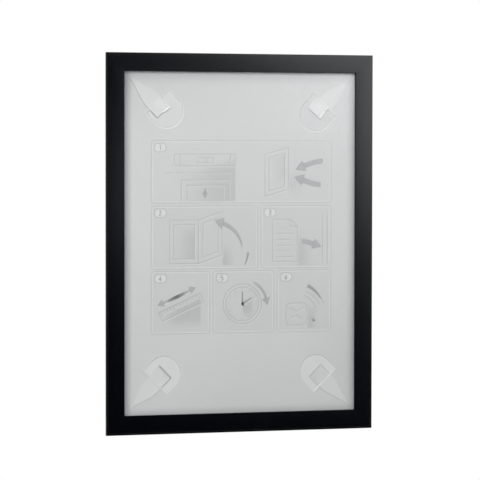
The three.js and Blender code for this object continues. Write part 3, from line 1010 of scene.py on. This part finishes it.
# behind and above: from which share of a direction to which the world's gloss rises, and its levels;
# each lamp's place, the point it faces, its width and height in metres, and its power
light = {
    "even": 0.37,
    "behind": (-0.25, 0.3, 0.0, 1.0),
    "above": (0.25, 0.6, 0.0, 0.25),
    "floor": {"colour": (0.8, 0.8, 0.8), "roughness": 0.9, "lift": 0.45, "half": 0.6, "height": -0.5},
    "glossColour": (0.97, 1.01, 1.025),
    "gloss": ("softbox", "glow"),
    "lamps": {
        "softbox": ((1.457, -1.35, 1.125), (0.1, 0, 0.1), (2.7, 2.58), 54),
        "glow": ((0.25, -1.35, 0.023), (0.1, 0, 0.1), (0.185, 0.139), 0.0456),
        "key": ((-0.55, -1.15, 0.8), (0, 0, 0.05), (0.8, 0.8), 17.0),
        "fill": ((0.75, -0.9, 0.75), (0, 0, 0.05), (0.8, 0.8), 3.6),
        "side": ((-1.0, -1.0, 0.1), (0, 0, 0), (0.5, 0.5), 2.7),
    },
}


def makeCamera():
    camera = addObject("camera", bpy.data.cameras.new("camera"))
    camera.data.lens, camera.data.sensor_width = view["lens"], view["sensor"]
    camera.data.clip_end = view["far"]
    yaw, pitch = math.radians(view["yaw"]), math.radians(view["pitch"])
    forward = Vector((math.sin(yaw) * math.cos(pitch), math.cos(yaw) * math.cos(pitch), math.sin(pitch)))
    turn = forward.to_track_quat("-Z", "Y") @ Quaternion((0, 0, 1), -math.radians(view["roll"]))
    camera.location = view["place"]
    camera.rotation_mode = "QUATERNION"
    camera.rotation_quaternion = turn
    bpy.context.scene.camera = camera


def makeLamps():
    for name, (place, target, size, power) in light["lamps"].items():
        reflected = name in light["gloss"]
        lamp = bpy.data.lights.new(name, "AREA")
        lamp.shape, lamp.size, lamp.size_y, lamp.energy = "RECTANGLE", size[0], size[1], power
        lamp.color = light["glossColour"] if reflected else (1, 1, 1)
        holder = addObject(name, lamp)
        holder.visible_glossy = reflected
        holder.visible_diffuse = not reflected
        holder.location = place
        holder.rotation_euler = (Vector(target) - Vector(place)).to_track_quat("-Z", "Y").to_euler()


# white wherever the camera, glass or gloss looks past the object, and an even light otherwise
def makeWorld():
    world = bpy.data.worlds.new("studio")
    world.use_nodes = True
    bpy.context.scene.world = world
    tree = world.node_tree
    generated = addNode(tree, "TexCoord").outputs["Generated"]
    direction = addNode(tree, "SeparateXYZ", {"Vector": generated}).outputs
    behind = remap(tree, direction["Y"], *light["behind"])
    above = remap(tree, direction["Z"], *light["above"])
    path = addNode(tree, "LightPath").outputs
    glossy = calculate(tree, "MULTIPLY", path["Is Glossy Ray"], calculate(tree, "MAXIMUM", behind, above))
    plain = calculate(tree, "MULTIPLY", path["Is Diffuse Ray"], light["even"])
    seen = calculate(tree, "MAXIMUM", path["Is Camera Ray"], path["Is Transmission Ray"])
    level = calculate(tree, "ADD", calculate(tree, "ADD", seen, glossy), plain)
    background = tree.nodes["Background"]
    background.inputs["Color"].default_value = (1, 1, 1, 1)
    tree.links.new(level, background.inputs["Strength"])


def makeFloor():
    paper, tree, shader = newMaterial("pale_floor")
    shader.inputs["Base Color"].default_value = (*light["floor"]["colour"], 1)
    shader.inputs["Roughness"].default_value = light["floor"]["roughness"]
    shader.inputs["Emission Color"].default_value = (1, 1, 1, 1)
    path = addNode(tree, "LightPath").outputs
    past = calculate(tree, "MAXIMUM", path["Is Glossy Ray"], path["Is Transmission Ray"])
    seen = calculate(tree, "MAXIMUM", path["Is Camera Ray"], past)
    lift = calculate(tree, "MULTIPLY", seen, light["floor"]["lift"])
    tree.links.new(lift, shader.inputs["Emission Strength"])
    bm = bmesh.new()
    bmesh.ops.create_grid(bm, x_segments=1, y_segments=1, size=light["floor"]["half"])
    bmesh.ops.translate(bm, verts=bm.verts, vec=(0, 0, light["floor"]["height"]))
    floor = addMesh("floor", bm, paper)


bpy.context.scene.view_settings.view_transform = "Standard"
makeCamera()
makeWorld()
makeFloor()
makeLamps()
makeBezel()
makeWindowFilm()
makeRearPanel()
makeStrips()
makeDrawings()
dressHidden()
